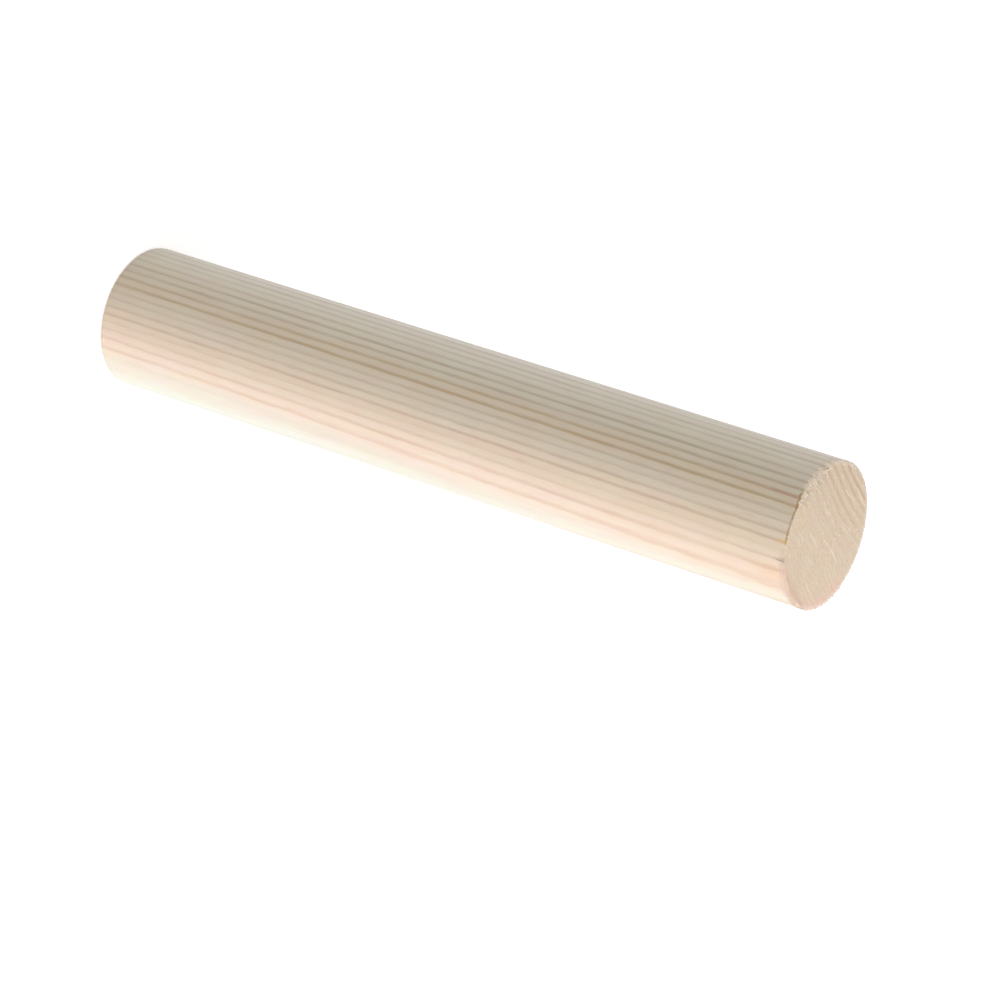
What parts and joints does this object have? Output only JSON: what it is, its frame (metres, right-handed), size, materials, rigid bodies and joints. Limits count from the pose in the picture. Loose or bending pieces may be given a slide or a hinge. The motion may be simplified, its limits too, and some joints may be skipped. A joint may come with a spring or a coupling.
{
  "type": "wooden dowel rod",
  "caption": "Plain round softwood dowel rod with square-sawn ends and straight grain, used as a peg, rail, handle or turning blank.",
  "frame": {"origin": "middle of the foot face, on the surface that the rod stands on", "axes": "+Z runs along the rod from its foot face to its head face; -Y is the front, the side with the narrow straight grain that faces the viewer; +X is to the viewer's right"},
  "size_m": [0.028, 0.028, 0.16],
  "materials": {
    "softwood": "bare pale softwood, smooth along the grain, sawn across both ends"
  },
  "bodies": {
    "root": {"dowel_rod": "softwood"}
  },
  "joints": []
}
